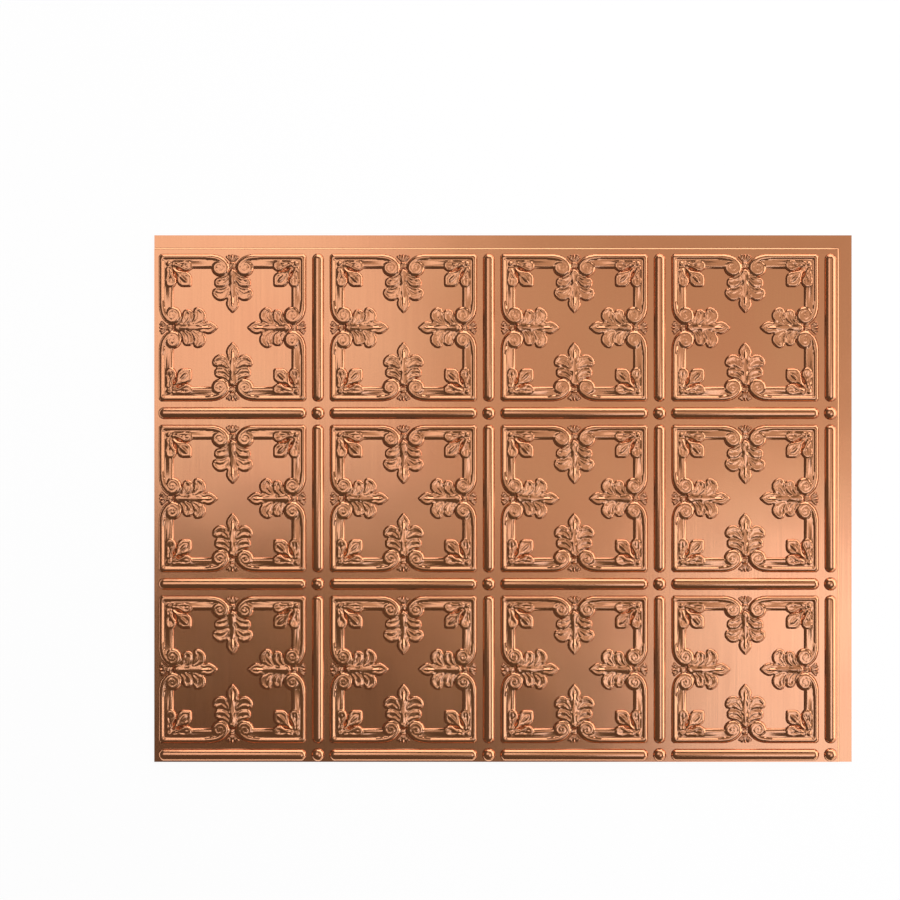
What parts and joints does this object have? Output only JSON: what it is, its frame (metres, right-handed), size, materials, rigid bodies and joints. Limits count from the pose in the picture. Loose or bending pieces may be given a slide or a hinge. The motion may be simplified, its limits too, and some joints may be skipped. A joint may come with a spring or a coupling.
{
  "type": "vinyl backsplash panel",
  "caption": "Thin formed vinyl wall panel with a copper-coloured film, embossed with framed square tiles of scrolls and leaves, round ribs between them and a stepped lap edge.",
  "frame": {"origin": "on the floor plane, under the centre of the panel's outline", "axes": "+X along the long side towards the right lap flange, +Y along the short side towards the top lap flange, +Z out of the decorated face, which lies upwards"},
  "size_m": [0.6224, 0.47, 0.0058],
  "materials": {
    "copper_film": "metallised copper film, satin"
  },
  "bodies": {
    "root": {"backsplash_panel": "copper_film"}
  },
  "joints": []
}
